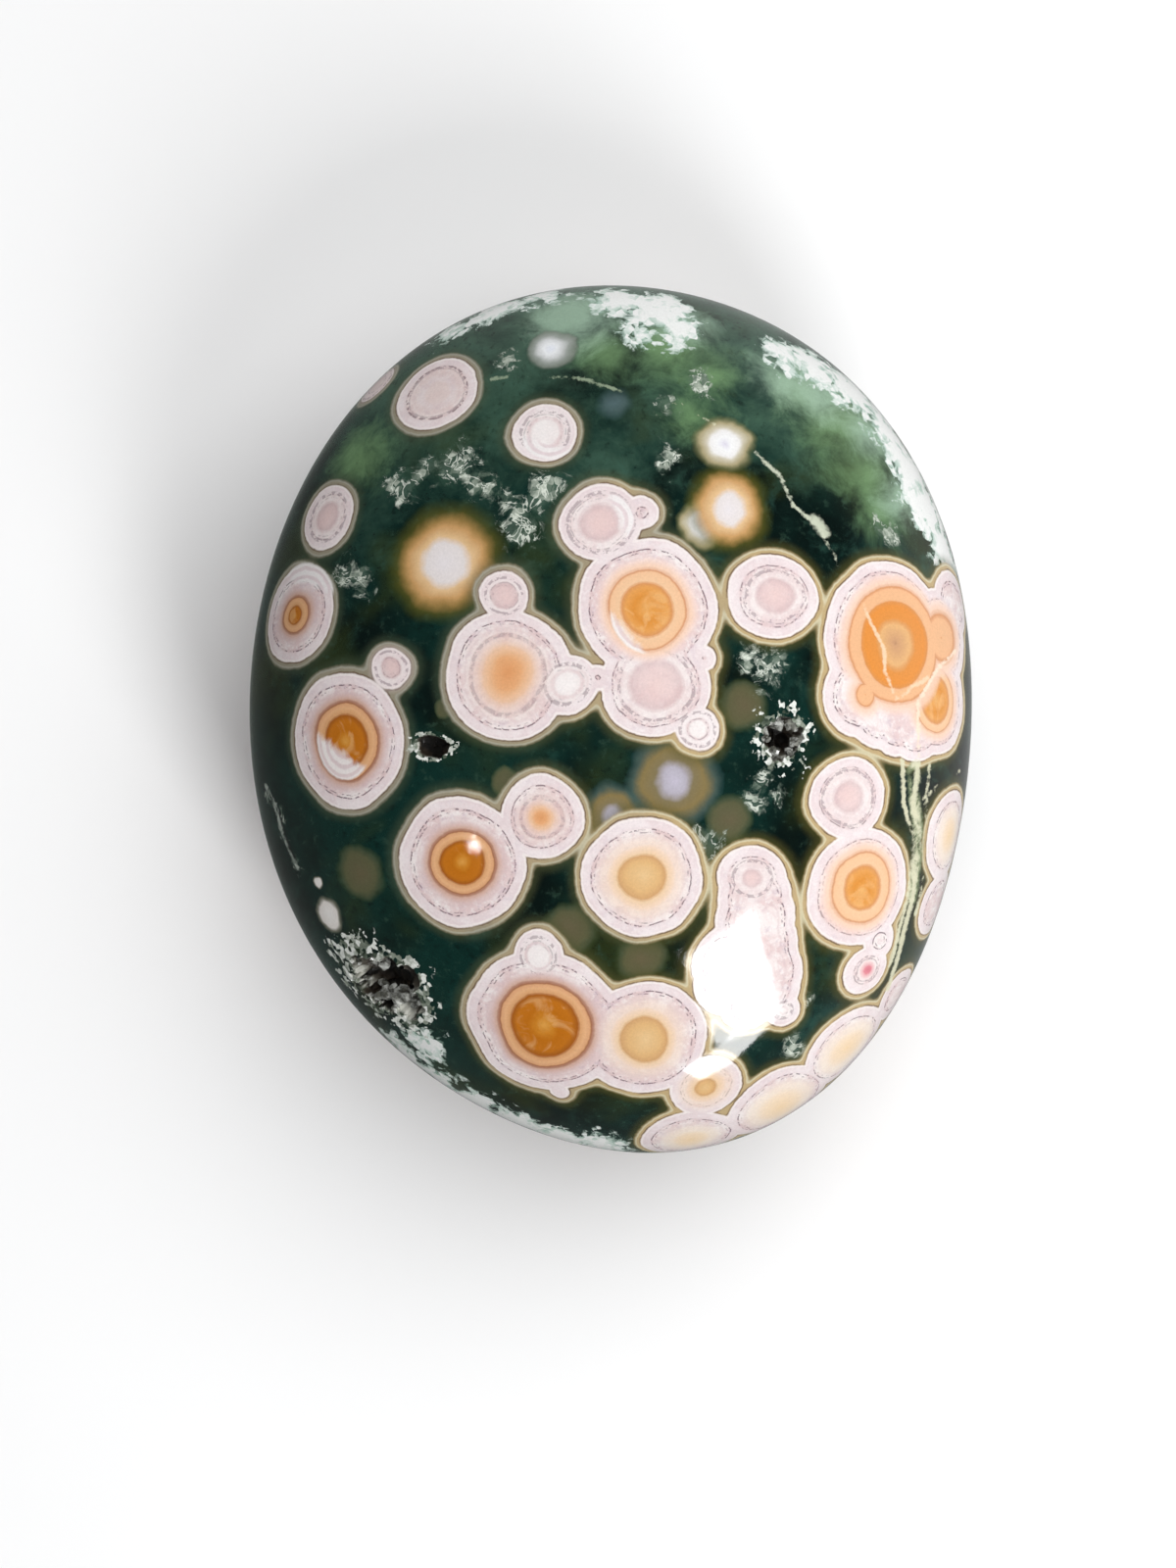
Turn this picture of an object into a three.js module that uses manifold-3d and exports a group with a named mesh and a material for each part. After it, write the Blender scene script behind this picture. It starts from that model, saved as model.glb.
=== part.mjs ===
// A polished ocean jasper palm stone: a flattened, slightly egg-shaped pebble that rests on a small
// flat spot, with two open hollows lined with quartz crystals and one small bare pit in its upper face.
// Millimetres, +Z up, +X across the face, +Y along it. The origin is under the middle, on the surface.

import * as THREE from 'three';
import { mergeVertices } from 'three/addons/utils/BufferGeometryUtils.js';
import Module from 'manifold-3d';

const wasm = await Module();
wasm.setup();

// ---- driving dimensions ----

const HALF_WIDTH = 30.2;
const HALF_LENGTH = 36.2;
const HALF_THICKNESS = 17.7;
const FLAT_SPOT_DEPTH = 0.4; // how much the resting spot is worn off the underside
const MIDDLE = { x: 0.42, y: 0.3 }; // where the lobes leave the form's middle, to centre its box

// Each lobe swells or hollows the outline a set number of times around the stone.
const LOBES = [
  { times: 2, along: 0, across: -0.012 },
  { times: 3, along: -0.014, across: 0.006 },
  { times: 4, along: -0.006, across: 0.008 },
];
const SHOULDER = 0.02; // fuller than an ellipsoid between the rim and the top
const CROWN = -0.012; // the upper shoulders are flatter than the lower ones
const LEAN = 0.02; // the rim rides higher on the right than on the left

const STONE_DETAIL = 14; // subdivisions of the stone's surface
const HOLLOW_DETAIL = 3; // subdivisions of a hollow's wall

// Hollows: x and y on the upper face, the size of the mouth, the depth, and the mouth's turn in degrees.
const LARGE_VUG = { x: -18.4, y: -21.6, width: 7.0, height: 5.8, depth: 3.2, turn: -20, seed: 11 };
const SMALL_VUG = { x: 13.7, y: -1.8, width: 4.5, height: 4.9, depth: 2.4, turn: 10, seed: 23 };
const BARE_PIT = { x: -14.3, y: -2.35, width: 3.1, height: 1.9, depth: 1.1, turn: -5, seed: 37 };
const WALL_UNEVENNESS = 0.09; // share of a hollow's size that its wall wanders in and out
const WALL_WAVES = [2, 3, 5]; // times that each wave of the wall goes around a hollow
const WALL_TWIST = 3; // the most that a wave turns between the mouth and the bottom, in radians

const CRUST_GAP = 0.3; // clearance between a crust and the wall it lines
const CRUST_THICKNESS = 0.55;
const CRUST_BELOW_FACE = 0.12; // the crusts stay this far under the polished face

// Crystals: how many line a vug, and the radius of the largest.
const LARGE_VUG_CRYSTALS = { count: 28, radius: 0.6 };
const SMALL_VUG_CRYSTALS = { count: 20, radius: 0.42 };
const ROOT_HEIGHTS = { first: -0.12, last: -0.95 }; // where they root, in shares of the depth
const ROOT_BITE = 0.1; // how deep a root is sunk in the lining
const CRYSTAL_LEAN = 0.7; // how far a crystal strays from pointing at the middle of the mouth
const CRYSTAL_RADII = { least: 0.55, most: 1 }; // shares of the largest radius
const SHAFT_LENGTHS = { least: 0.3, most: 1 }; // in radii of the crystal
const TIP_LENGTH = 1.15; // in radii of the crystal
const GOLDEN_ANGLE = Math.PI * (3 - Math.sqrt(5));

const PLACING_STEPS = 12; // rounds that find the point of the face over a place
const WELD_DISTANCE = 1e-4; // vertices nearer than this are one
const RANDOM_FACTOR = 16807; // of a multiplicative generator
const RANDOM_LIMIT = 2147483647;

const STONE_LOOK = { color: 0x3f5a4c, roughness: 0.12, metalness: 0 };
const CRYSTAL_LOOK = { color: 0xc9cfc4, roughness: 0.25, metalness: 0 };

// ---- helpers ----

function seededRandom(seed) {
  let state = seed;
  return () => {
    state = (state * RANDOM_FACTOR) % RANDOM_LIMIT;
    return state / RANDOM_LIMIT;
  };
}

function within({ least, most }, share) {
  return least + (most - least) * share;
}

function toManifold(geometry) {
  const bare = geometry.clone();
  bare.deleteAttribute('normal');
  bare.deleteAttribute('uv');
  const merged = mergeVertices(bare, WELD_DISTANCE);
  return new wasm.Manifold(new wasm.Mesh({
    numProp: 3,
    vertProperties: Float32Array.from(merged.attributes.position.array),
    triVerts: Uint32Array.from(merged.index.array),
  }));
}

function toGeometry(manifold) {
  const mesh = manifold.getMesh();
  const geometry = new THREE.BufferGeometry();
  geometry.setAttribute('position', new THREE.Float32BufferAttribute(mesh.vertProperties, 3));
  geometry.setIndex(Array.from(mesh.triVerts));
  geometry.computeVertexNormals();
  return geometry;
}

// Moves each vertex of a unit sphere to where the given function puts its direction.
function shapedSphere(detail, place) {
  const sphere = new THREE.IcosahedronGeometry(1, detail);
  const positions = sphere.attributes.position;
  const direction = new THREE.Vector3();
  for (let i = 0; i < positions.count; i++) {
    direction.fromBufferAttribute(positions, i).normalize();
    const point = place(direction);
    positions.setXYZ(i, point.x, point.y, point.z);
  }
  return sphere;
}

// ---- the stone's form ----

function stonePoint(direction, inset = 0) {
  const level = Math.hypot(direction.x, direction.y);
  const turn = Math.atan2(direction.y, direction.x);
  let reach = 1 + 4 * (SHOULDER + CROWN * direction.z) * level ** 2 * direction.z ** 2;
  reach += LEAN * direction.x * direction.z;
  for (const { times, along, across } of LOBES) {
    reach += level ** times * (along * Math.cos(times * turn) + across * Math.sin(times * turn));
  }
  return new THREE.Vector3(
    MIDDLE.x + (HALF_WIDTH - inset) * reach * direction.x,
    MIDDLE.y + (HALF_LENGTH - inset) * reach * direction.y,
    HALF_THICKNESS - FLAT_SPOT_DEPTH + (HALF_THICKNESS - inset) * reach * direction.z,
  );
}

// The point of the upper face that lies over (x, y).
function facePoint(x, y) {
  const direction = new THREE.Vector3(x / HALF_WIDTH, y / HALF_LENGTH, 0);
  for (let step = 0; step < PLACING_STEPS; step++) {
    direction.z = Math.sqrt(Math.max(0, 1 - direction.x ** 2 - direction.y ** 2));
    const point = stonePoint(direction);
    direction.x += (x - point.x) / HALF_WIDTH;
    direction.y += (y - point.y) / HALF_LENGTH;
  }
  direction.z = Math.sqrt(Math.max(0, 1 - direction.x ** 2 - direction.y ** 2));
  return stonePoint(direction);
}

function faceNormal(point) {
  return new THREE.Vector3(
    (point.x - MIDDLE.x) / HALF_WIDTH ** 2,
    (point.y - MIDDLE.y) / HALF_LENGTH ** 2,
    (point.z - HALF_THICKNESS + FLAT_SPOT_DEPTH) / HALF_THICKNESS ** 2,
  ).normalize();
}

function polishedForm(inset = 0) {
  return toManifold(shapedSphere(STONE_DETAIL, (direction) => stonePoint(direction, inset)));
}

// ---- hollows ----

// Turns and moves a hollow's own axes, mouth up, to its place on the face.
function hollowPlace({ x, y, turn }) {
  const mouth = facePoint(x, y);
  const stand = new THREE.Quaternion().setFromUnitVectors(new THREE.Vector3(0, 0, 1), faceNormal(mouth));
  const spin = new THREE.Quaternion().setFromAxisAngle(
    new THREE.Vector3(0, 0, 1), THREE.MathUtils.degToRad(turn));
  return new THREE.Matrix4().compose(mouth, stand.multiply(spin), new THREE.Vector3(1, 1, 1));
}

// How far the wall wanders from an even bowl in a direction: three waves with seeded phases.
function wallWave(seed) {
  const random = seededRandom(seed);
  const waves = WALL_WAVES.map((times) => (
    { times, phase: 2 * Math.PI * random(), twist: WALL_TWIST * random() }));
  return (direction) => {
    const turn = Math.atan2(direction.y, direction.x);
    let sum = 0;
    for (const { times, phase, twist } of waves) {
      sum += Math.sin(times * turn + phase + twist * direction.z) * Math.hypot(direction.x, direction.y);
    }
    return 1 + WALL_UNEVENNESS * sum / Math.sqrt(waves.length);
  };
}

function hollowBody(hollow, inset) {
  const wave = wallWave(hollow.seed);
  const body = shapedSphere(HOLLOW_DETAIL, (direction) => new THREE.Vector3(
    (hollow.width / 2 * wave(direction) - inset) * direction.x,
    (hollow.height / 2 * wave(direction) - inset) * direction.y,
    (hollow.depth * wave(direction) - inset) * direction.z,
  ));
  return toManifold(body.applyMatrix4(hollowPlace(hollow)));
}

// ---- crystal crusts ----

// A six-sided quartz prism with a pointed end, standing on the origin.
function crystalGeometry(radius, shaft, tip) {
  const profile = [
    new THREE.Vector2(0, 0),
    new THREE.Vector2(radius, 0),
    new THREE.Vector2(radius, shaft),
    new THREE.Vector2(0, shaft + tip),
  ];
  return new THREE.LatheGeometry(profile, 6);
}

function crystalCrust(hollow, { count, radius: largestRadius }) {
  const random = seededRandom(hollow.seed);
  const lined = CRUST_GAP + CRUST_THICKNESS;
  const place = hollowPlace(hollow);
  const crystals = [];
  for (let i = 0; i < count; i++) {
    const share = (i + 0.5) / count;
    const height = ROOT_HEIGHTS.first + (ROOT_HEIGHTS.last - ROOT_HEIGHTS.first) * share;
    const ring = Math.sqrt(1 - height ** 2);
    const turn = i * GOLDEN_ANGLE;
    const root = new THREE.Vector3(
      (hollow.width / 2 - lined + ROOT_BITE) * ring * Math.cos(turn),
      (hollow.height / 2 - lined + ROOT_BITE) * ring * Math.sin(turn),
      (hollow.depth - lined + ROOT_BITE) * height,
    );
    const stray = new THREE.Vector3(random() - 0.5, random() - 0.5, random()).multiplyScalar(CRYSTAL_LEAN);
    const aim = root.clone().negate().normalize().add(stray).normalize();
    const radius = largestRadius * within(CRYSTAL_RADII, random());
    const crystal = crystalGeometry(radius, radius * within(SHAFT_LENGTHS, random()), radius * TIP_LENGTH);
    const stand = new THREE.Quaternion().setFromUnitVectors(new THREE.Vector3(0, 1, 0), aim);
    crystal.applyMatrix4(new THREE.Matrix4().compose(root, stand, new THREE.Vector3(1, 1, 1)));
    crystals.push(toManifold(crystal.applyMatrix4(place)));
  }
  const lining = hollowBody(hollow, CRUST_GAP).subtract(hollowBody(hollow, lined));
  return crystals.reduce((crust, crystal) => crust.add(crystal), lining)
    .intersect(hollowBody(hollow, CRUST_GAP))
    .intersect(polishedForm(CRUST_BELOW_FACE));
}

// ---- sub-parts ----

function stone() {
  const underside = new THREE.BoxGeometry(4 * HALF_WIDTH, 4 * HALF_LENGTH, HALF_THICKNESS);
  underside.translate(0, 0, -HALF_THICKNESS / 2);
  return polishedForm()
    .subtract(toManifold(underside))
    .subtract(hollowBody(LARGE_VUG, 0))
    .subtract(hollowBody(SMALL_VUG, 0))
    .subtract(hollowBody(BARE_PIT, 0));
}

function namedMesh(name, manifold, look) {
  const mesh = new THREE.Mesh(toGeometry(manifold), new THREE.MeshStandardMaterial(look));
  mesh.name = name;
  return mesh;
}

const group = new THREE.Group();
group.add(namedMesh('stone', stone(), STONE_LOOK));
group.add(namedMesh('large_vug_crystals', crystalCrust(LARGE_VUG, LARGE_VUG_CRYSTALS), CRYSTAL_LOOK));
group.add(namedMesh('small_vug_crystals', crystalCrust(SMALL_VUG, SMALL_VUG_CRYSTALS), CRYSTAL_LOOK));

export default group;
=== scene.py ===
"""Ocean jasper palm stone: a polished, flattened egg-shaped stone full of orbs, with two crystal-lined
hollows, resting on its small flat spot. It is laid out as an add-on and run as a script."""

import math
import random

import bpy
import numpy as np
from bpy.props import FloatProperty, FloatVectorProperty, IntProperty, PointerProperty
from mathutils import Matrix, Quaternion, Vector, noise


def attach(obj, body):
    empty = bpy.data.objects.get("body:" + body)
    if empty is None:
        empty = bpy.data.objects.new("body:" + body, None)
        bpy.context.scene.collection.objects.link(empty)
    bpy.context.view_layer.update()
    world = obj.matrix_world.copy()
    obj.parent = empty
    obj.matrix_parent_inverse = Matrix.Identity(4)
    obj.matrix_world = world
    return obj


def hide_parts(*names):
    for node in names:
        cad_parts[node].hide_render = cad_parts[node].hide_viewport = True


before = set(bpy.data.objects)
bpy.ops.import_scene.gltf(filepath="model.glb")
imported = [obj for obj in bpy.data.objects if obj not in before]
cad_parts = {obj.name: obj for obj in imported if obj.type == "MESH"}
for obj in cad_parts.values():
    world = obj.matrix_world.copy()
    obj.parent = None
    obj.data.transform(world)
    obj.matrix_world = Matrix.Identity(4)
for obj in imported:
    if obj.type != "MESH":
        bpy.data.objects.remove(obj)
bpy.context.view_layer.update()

bl_info = {
    "name": "Ocean Jasper Palm Stone",
    "version": (1, 0, 0),
    "blender": (4, 5, 0),
    "location": "3D View > Sidebar > Jasper",
    "description": "Makes a polished ocean jasper palm stone with crystal-lined hollows",
    "category": "Add Mesh",
}

MM = 0.001
STONE = "palm_stone"
LARGE_CRYSTALS = "large_vug_quartz"
SMALL_CRYSTALS = "small_vug_quartz"


def hue(red, green, blue):
    """A colour given by its screen values from 0 to 255, as the linear values that shaders use."""
    return tuple(
        c / 12.92 if c <= 0.04045 else ((c + 0.055) / 1.055) ** 2.4
        for c in (red / 255, green / 255, blue / 255)
    )


# ---- the stone's form: the same low lobes on an ellipsoid as its solid has ----

# Each lobe swells the outline a set number of times around: (times, along, across).
LOBES = ((2, 0.0, -0.012), (3, -0.014, 0.006), (4, -0.006, 0.008))
SHOULDER = 0.02
CROWN = -0.012
LEAN = 0.02
FORM_MIDDLE = (0.42, 0.3)
FLAT_SPOT_DEPTH = 0.4

# Open hollows of the upper face, in mm: place, mouth size, depth, turn of the mouth, seed, and how far the
# crust around the mouth spreads, in its radii. Each is made of bowls around its middle: across, along, half
# width, half height, depth, and how rough the wall is from 0 to 1.
LARGE_VUG = dict(
    x=-18.4, y=-21.6, width=7.0, height=5.8, depth=3.2, turn=-20, seed=11, spread=1.9,
    bowls=((-0.6, -0.4, 3.0, 2.3, 2.6, 1.0), (0.2, 1.5, 1.0, 1.2, 1.5, 0.1), (1.9, 1.5, 1.2, 1.3, 1.6, 0.1),
           (2.1, -0.8, 1.6, 1.6, 1.7, 1.0), (0.6, 0.4, 1.6, 1.2, 2.2, 0.6)))
SMALL_VUG = dict(
    x=13.7, y=-1.8, width=4.5, height=4.9, depth=2.4, turn=10, seed=23, spread=1.8,
    bowls=((-0.1, 0.1, 1.55, 1.65, 1.9, 1.0), (0.3, -0.2, 0.8, 0.75, 2.4, 0.4)))
BARE_PIT = dict(
    x=-14.3, y=-2.35, width=3.1, height=1.9, depth=1.1, turn=-5, seed=37, spread=1.55,
    bowls=((0.0, 0.0, 1.45, 0.85, 1.1, 0.6),))
HOLLOWS = (LARGE_VUG, SMALL_VUG, BARE_PIT)


def form_point(direction, sizes):
    """Where the stone's surface lies, in mm, for directions from its middle (an array of unit vectors)."""
    x, y, z = np.moveaxis(np.asarray(direction, float), -1, 0)
    level = np.hypot(x, y)
    turn = np.arctan2(y, x)
    reach = 1 + 4 * (SHOULDER + CROWN * z) * level**2 * z**2 + LEAN * x * z
    for times, along, across in LOBES:
        reach = reach + level**times * (along * np.cos(times * turn) + across * np.sin(times * turn))
    half_width, half_length, half_thickness = sizes
    return np.stack((
        FORM_MIDDLE[0] + half_width * reach * x,
        FORM_MIDDLE[1] + half_length * reach * y,
        half_thickness - FLAT_SPOT_DEPTH + half_thickness * reach * z,
    ), -1)


# A place past the outline is taken as this near to the rim, where 1 is the rim.
WIDEST_LEVEL = 0.985
# Rounds that find the point of the face over a place, and the point that an eye sees there.
PLACING_ROUNDS = 12
SEEING_ROUNDS = 20


def face_direction(x, y, sizes):
    """The direction from the stone's middle whose surface point lies over (x, y) on the upper face."""
    across, along = x / sizes[0], y / sizes[1]
    for _ in range(PLACING_ROUNDS):
        up = math.sqrt(max(0.0, 1 - across**2 - along**2))
        point = form_point((across, along, up), sizes)
        across += (x - point[0]) / sizes[0]
        along += (y - point[1]) / sizes[1]
        level = max(1.0, math.hypot(across, along) / WIDEST_LEVEL)
        across, along = across / level, along / level
    return Vector((across, along, math.sqrt(1 - across**2 - along**2)))


def form_normal(point, sizes):
    """The outward direction of the surface at a point, in mm, near enough to stand things on."""
    return Vector((
        (point[0] - FORM_MIDDLE[0]) / sizes[0] ** 2,
        (point[1] - FORM_MIDDLE[1]) / sizes[1] ** 2,
        (point[2] - sizes[2] + FLAT_SPOT_DEPTH) / sizes[2] ** 2,
    )).normalized()


def seen_point(x, y, sizes, eye):
    """The surface point that stands over (x, y) of the rim's level when it is seen from the eye."""
    rim = sizes[2] - FLAT_SPOT_DEPTH
    height = rim
    for _ in range(SEEING_ROUNDS):
        nearer = (eye[2] - height) / (eye[2] - rim)
        across = eye[0] + (x - eye[0]) * nearer
        along = eye[1] + (y - eye[1]) * nearer
        point = form_point(face_direction(across, along, sizes), sizes)
        height += 0.6 * (point[2] - height)
    return point


def under_point(x, y, sizes):
    """The surface point of the underside below (x, y)."""
    direction = face_direction(x, y, sizes)
    return form_point((direction.x, direction.y, -direction.z), sizes)


def placed(of_face, of_underside=()):
    """Rows that begin with a place across and along, with the point of the stone's surface in its stead."""
    sizes, eye = form_sizes(), eye_point()
    return [
        *((tuple(seen_point(x, y, sizes, eye)), *rest) for x, y, *rest in of_face),
        *((tuple(under_point(x, y, sizes)), *rest) for x, y, *rest in of_underside),
    ]


# ---- the orbs ----

# Orbs of the upper face in mm: across, along, radius with halo, and for those that have a centre its kind and
# the radii of its core and ring.
ORBS = (
    (-14.6, 27.1, 4.1, "pale", 1.2, 2.6), (-5.6, 23.8, 3.1, "white", 1.3, 1.9),
    (-23.6, 16.9, 3.3, "rose", 1.2, 2.0), (-26.2, 8.7, 4.6, "amber", 0.8, 1.6),
    (-0.9, 16.4, 3.7, "rose", 1.6, 2.5), (2.4, 17.2, 1.9), (-8.8, 10.5, 2.6, "rose", 1.2, 1.5),
    (-8.6, 3.8, 5.7, "peach", 1.9, 3.1), (-3.6, 2.9, 2.9, "white", 1.0, 1.6),
    (3.2, 9.3, 6.1, "orange", 2.0, 3.2), (3.7, 3.0, 4.9, "rose", 2.2, 2.9), (7.9, 5.2, 1.5),
    (7.3, -0.9, 2.3, "white", 0.8, 1.4), (13.5, 10.2, 4.1, "rose", 1.6, 2.2), (23.4, 6.8, 6.9),
    (23.8, 6.3, 5.0, "great", 3.6, 4.9), (27.2, 1.6, 5.0, "orange", 1.8, 2.6), (20.8, 2.0, 3.9),
    (22.4, 0.9, 3.7), (24.0, 0.1, 3.6), (25.6, -0.3, 3.7), (21.2, 2.0, 1.0, "great", 0.05, 1.05),
    (27.7, 6.7, 4.6, "great", 0.05, 2.3), (28.6, 9.6, 3.4), (-1.2, 3.4, 1.6),
    (-22.1, -1.7, 5.9, "amber", 2.1, 3.1), (-18.2, 4.2, 2.2, "rose", 0.9, 1.3),
    (-12.5, -11.9, 5.8, "amber", 1.9, 2.8), (-5.8, -8.1, 3.9, "peach", 0.8, 1.6),
    (2.7, -13.0, 5.4, "tan", 1.9, 2.9), (19.9, -6.6, 3.9, "rose", 1.3, 2.2),
    (20.9, -14.0, 5.3, "orange", 1.8, 3.0), (22.3, -18.3, 2.2), (11.8, -13.3, 3.3, "rose", 0.8, 1.5),
    (12.0, -15.1, 3.6), (12.2, -17.0, 4.0), (12.4, -19.0, 4.1), (12.7, -20.9, 4.0), (12.9, -22.5, 3.5),
    (14.3, -24.3, 2.1, "white", 0.3, 0.8), (9.8, -20.4, 3.6), (9.5, -22.2, 3.2), (11.2, -24.1, 2.7),
    (21.2, -20.9, 2.7, "cherry", 0.6, 1.0), (-5.5, -25.4, 7.0, "amber", 2.9, 4.0),
    (2.7, -26.7, 5.6, "tan", 2.0, 2.9), (-5.9, -19.6, 2.6, "white", 1.0, 1.4),
    (8.0, -30.6, 3.5, "tan", 0.9, 1.8), (-3.9, -31.0, 1.4), (6.8, -34.9, 4.6, "shell", 1.0, 1.8),
    (14.2, -32.2, 5.2, "shell", 1.4, 2.6), (19.8, -27.4, 4.6, "shell", 1.2, 2.2), (23.8, -23.0, 3.0),
    (28.2, -9.6, 4.2, "shell", 1.0, 1.8), (27.1, -15.2, 3.3), (-20.2, 28.7, 2.4, "pale", 0.9, 1.6),
)

# White bands that cover one side of an orb: its middle, how far they reach, and where they face and begin.
CAPS = (
    (-22.3, -1.9, 2.9, 235, 0.3), (-25.8, 9.6, 3.7, 65, 1.3), (-0.7, 16.5, 2.5, 20, 0.9),
    (-5.2, 23.6, 2.3, 250, 0.5), (3.1, 8.8, 3.0, 225, 1.8),
)

# Orbs that lie under clear chalcedony and show softly: across, along, radius and kind.
SUNKEN_ORBS = (
    (-13.5, 13.1, 5.4, "sun"), (7.6, 16.3, 2.2, "pearl"), (9.9, 17.6, 4.0, "sun"),
    (9.6, 23.0, 2.7, "pearl"), (-4.7, 30.8, 2.3, "frost"), (0.3, 26.3, 1.7, "mist"),
    (-23.4, -16.4, 1.75, "snow"), (-24.3, -13.7, 0.7, "snow"), (5.4, -5.1, 3.8, "moon"),
    (0.2, -8.2, 3.0, "moon"), (-20.8, -12.9, 2.5, "moss"), (-3.4, -17.5, 2.4, "moss"),
    (-13.9, 1.0, 0.9, "moss"), (-9.0, -5.2, 1.2, "moss"), (9.9, -8.2, 2.2, "moss"),
    (11.1, 1.2, 2.2, "moss"), (2.6, -19.8, 2.2, "moss"),
)

# Lit green clouds, mist and white quartz in the dark green, and clusters of flecks: across, along, radius.
GREEN_CLOUDS = (
    (4.6, 31.2, 3.4), (0.0, 30.4, 2.8), (8.4, 28.6, 2.2), (7.0, 25.2, 1.6), (16.0, 27.6, 2.6),
    (19.4, 24.4, 3.6), (21.6, 20.4, 3.6), (22.4, 17.4, 2.2), (-21.0, 21.8, 2.6),
)
MIST = (
    (17.0, 27.4, 2.8), (14.4, 28.2, 2.4), (21.4, 23.6, 2.2), (-3.0, 33.4, 3.4), (24.2, 18.6, 2.0),
    (6.4, 33.0, 2.0),
)
QUARTZ_ZONES = (
    (1.0, 34.8, 2.6), (4.2, 34.0, 2.6), (6.0, 32.6, 1.6), (2.6, 32.2, 1.5), (4.8, 31.4, 1.1),
    (14.4, 30.4, 1.9), (17.2, 29.4, 2.4), (20.2, 27.2, 2.8), (22.8, 24.4, 3.0), (24.8, 21.0, 3.1),
    (26.4, 17.6, 3.0), (27.8, 14.4, 2.5), (28.6, 11.6, 1.6), (-5.8, 35.2, 2.0), (-9.4, 34.2, 2.2),
    (-12.8, 32.4, 1.9), (-15.3, -27.4, 1.6), (-17.4, -28.6, 1.9), (-14.8, -30.0, 2.3),
    (-11.4, -32.0, 2.4), (-8.0, -33.8, 2.5), (-4.4, -35.2, 2.7), (-0.8, -36.0, 2.4),
)
FLECK_CLUSTERS = (
    (-18.2, 19.7, 0.8), (-17.2, 19.2, 0.7), (-15.8, 20.2, 0.6), (-14.6, 21.0, 0.9), (-12.8, 21.1, 1.5),
    (-11.3, 20.0, 0.9), (-10.0, 19.3, 0.7), (-8.6, 18.8, 0.8), (-5.6, 19.0, 1.2), (-7.7, 17.3, 1.0),
    (-7.1, 15.7, 1.2), (-8.6, 29.8, 0.7), (-22.3, 12.0, 1.0), (-20.6, 11.2, 0.9), (4.8, 22.0, 1.0),
    (3.6, 17.2, 0.8), (4.8, 26.3, 0.6), (7.6, 28.0, 0.7), (23.0, 15.8, 1.0), (11.4, 4.6, 0.8),
    (12.7, 3.2, 0.7), (13.5, 5.0, 0.6), (12.6, -5.2, 0.9), (11.9, -6.6, 0.6), (13.9, -6.3, 0.5),
    (15.5, -27.4, 1.0), (16.3, -23.4, 0.6), (7.6, -10.4, 1.5), (-9.6, 0.4, 0.4), (-28.4, -6.4, 0.4),
    (-27.2, -9.2, 0.5), (-26.4, -11.8, 0.4),
)
CREAM = hue(222, 220, 190)
PEACH = hue(246, 214, 180)
SHELL_PINK = hue(250, 230, 208)
GREEN = hue(150, 166, 140)
SAGE = hue(136, 148, 112)
SILVER = hue(206, 212, 190)
GREY = hue(186, 194, 184)
DARK = hue(14, 18, 16)
# Healed cracks as chains of points on the face, each with its colour, half width and how broken up it is.
CRACKS = (
    (GREEN, 0.09, 0.2, ((-9.9, 28.2), (-2.2, 28.3), (0.6, 27.4), (4.3, 25.2))),
    (CREAM, 0.08, 0.2, ((4.3, 26.4), (5.9, 26.3), (8.6, 24.6))),
    (SILVER, 0.12, 0.1, ((12.1, 22.2), (14.2, 20.4), (15.6, 17.8), (17.7, 16.1), (19.4, 11.4))),
    (SILVER, 0.5, 0.3, ((17.3, 16.7), (18.0, 15.7))),
    (SAGE, 0.7, 0.34, ((25.2, -4.2), (25.8, -10.6), (25.2, -14.7))),
    (CREAM, 0.6, 0.42, ((25.4, -3.9), (25.6, -10.6), (25.0, -14.7))),
    (CREAM, 0.34, 0.1, (
        (25.6, -3.7), (25.4, -7.2), (25.9, -10.6), (25.2, -14.7), (24.2, -18.6), (23.1, -22.5))),
    (CREAM, 0.2, 0.2, ((24.3, -3.5), (24.6, -6.9), (25.4, -10.4), (24.7, -15.0), (23.2, -20.4))),
    (CREAM, 0.2, 0.2, ((26.6, -3.9), (26.3, -7.8), (26.4, -11.2), (25.5, -16.0))),
    (CREAM, 0.15, 0.3, ((26.2, -6.7), (27.2, -5.7), (29.1, -4.3))),
    (PEACH, 0.14, 0.1, (
        (20.8, 9.7), (21.6, 8.2), (22.7, 6.0), (22.9, 4.1), (24.0, 1.6), (25.4, 2.9), (26.6, 3.3))),
    (SHELL_PINK, 0.16, 0.1, ((28.9, 5.6), (27.3, 3.95), (25.7, 1.6), (25.6, -3.2))),
    (GREY, 0.24, 0.4, ((-28.7, -5.6), (-27.9, -7.3), (-27.4, -8.9), (-26.8, -10.6), (-26.1, -12.2))),
    (DARK, 0.16, 0.2, ((-27.5, -8.0), (-26.8, -10.2), (-26.4, -11.2))),
)

# The same for the underside, as they lie below the face.
UNDER_ORBS = (
    (-13.0, -23.0, 4.6, "orange", 1.6, 2.5), (-17.4, -18.8, 3.2, "rose", 1.1, 1.7),
    (-13.0, 10.0, 5.4, "amber", 2.1, 3.0), (-7.6, 13.4, 3.6, "rose", 1.3, 2.0),
    (-17.0, 5.2, 2.8, "white", 0.9, 1.5), (14.0, 18.0, 5.0, "tan", 1.8, 2.7),
    (10.2, 23.6, 4.0, "peach", 1.2, 2.2), (19.6, 13.4, 3.0, "rose", 1.0, 1.6),
    (1.0, 31.6, 4.4, "rose", 1.5, 2.3), (-4.4, 30.2, 2.6, "orange", 0.8, 1.4),
)
UNDER_SUNKEN = (
    (8.0, 6.0, 4.6, "sun"), (-10.6, -8.6, 3.4, "moon"), (-4.0, 15.0, 2.6, "moss"),
    (16.0, -14.0, 2.4, "pearl"),
)
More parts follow.
